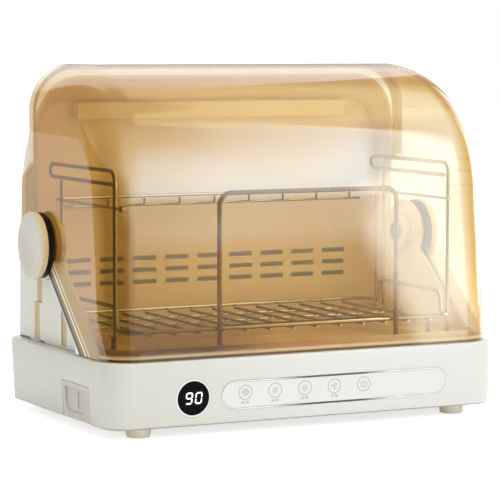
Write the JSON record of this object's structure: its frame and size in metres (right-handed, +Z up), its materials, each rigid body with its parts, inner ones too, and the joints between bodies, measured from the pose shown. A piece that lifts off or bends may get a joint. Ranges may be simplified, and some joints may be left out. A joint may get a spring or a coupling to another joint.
{
  "type": "electric dish dryer",
  "caption": "Countertop dish dryer: ivory base with touch panel and drip tray, rear housing, tilting clear amber lid over a chrome wire dish rack.",
  "frame": {"origin": "middle of the footprint, on the surface that the feet stand on", "axes": "+X to the right as the user faces the display, -Y to the front, +Z up"},
  "size_m": [0.438, 0.2628, 0.343],
  "materials": {
    "ivory_plastic": "satin injection moulding",
    "amber_clear": "polished see-through amber",
    "amber_hub": "polished see-through amber, thick",
    "chrome_wire": "bright plated wire",
    "black_plastic": "fine satin",
    "cap_ivory": "satin",
    "display_black": "polished black window",
    "ring_white": "polished white",
    "panel_face": "fine satin film",
    "silver_trim": "bright plated plastic",
    "tray_plastic": "satin",
    "foot_rubber": "matt",
    "steel": "turned",
    "board_green": "solder mask",
    "fan_dark": "moulded",
    "heater_metal": "mill finish",
    "bracket_dark": "heat-proof moulding",
    "lamp_glass": "clear tube",
    "cover_clear": "frosted clear",
    "inner_plastic": "plain moulding"
  },
  "bodies": {
    "base": {"base_shell": "ivory_plastic", "base_cover": "inner_plastic", "base_deck": "ivory_plastic", "screw_front_left": "steel", "screw_front_right": "steel", "screw_rear_left": "steel", "screw_rear_right": "steel", "foot_front_left": "foot_rubber", "foot_front_right": "foot_rubber", "foot_rear_left": "foot_rubber", "foot_rear_right": "foot_rubber", "panel_bezel": "silver_trim", "touch_panel": "panel_face", "display_ring": "ring_white", "display_window": "display_black", "control_board": "board_green", "display_module": "ring_white", "power_board": "board_green", "power_inlet": "black_plastic", "fan_frame": "fan_dark", "air_chimney": "inner_plastic", "heater_core": "heater_metal", "heater_bracket_left": "bracket_dark", "heater_bracket_right": "bracket_dark", "rear_housing": "ivory_plastic", "air_panel": "ivory_plastic", "lamp_cover": "cover_clear", "uv_lamp": "lamp_glass", "lamp_holder_left": "inner_plastic", "lamp_holder_right": "inner_plastic", "pivot_pin_left": "steel", "pivot_pin_right": "steel", "tray_rail_front": "inner_plastic", "tray_rail_rear": "inner_plastic"},
    "lid": {"lid_shell": "amber_clear", "lid_hub_left": "amber_hub", "lid_hub_right": "amber_hub", "friction_ring_left": "black_plastic", "friction_ring_right": "black_plastic", "pivot_cap_left": "cap_ivory", "pivot_cap_right": "cap_ivory"},
    "drip_tray": {"drip_tray": "tray_plastic"},
    "dish_rack": {"rack_rim": "chrome_wire", "rack_floor": "chrome_wire", "rack_foot_front_left": "chrome_wire", "rack_foot_front_right": "chrome_wire", "rack_foot_rear_left": "chrome_wire", "rack_foot_rear_right": "chrome_wire", "front_hoop": "chrome_wire", "side_hoop_left": "chrome_wire", "side_hoop_right": "chrome_wire", "side_post_left": "chrome_wire", "side_post_right": "chrome_wire", "upper_rail": "chrome_wire", "back_rail": "chrome_wire"},
    "fan": {"fan_impeller": "fan_dark"}
  },
  "joints": [
    {"name": "lid_tilt", "type": "hinge", "parent": "base", "child": "lid", "pos_m": [0, 0.037, 0.1685], "axis": [-1, 0, 0], "range_deg": [0, 75]},
    {"name": "tray_slide", "type": "slide", "parent": "base", "child": "drip_tray", "axis": [-1, 0, 0], "range_m": [0, 0.12]},
    {"name": "rack_lift", "type": "slide", "parent": "base", "child": "dish_rack", "axis": [0, 0, 1], "range_m": [0, 0.018]},
    {"name": "fan_spin", "type": "hinge", "parent": "base", "child": "fan", "pos_m": [0, 0.092, 0.03], "axis": [0, 0, 1], "continuous": true}
  ]
}
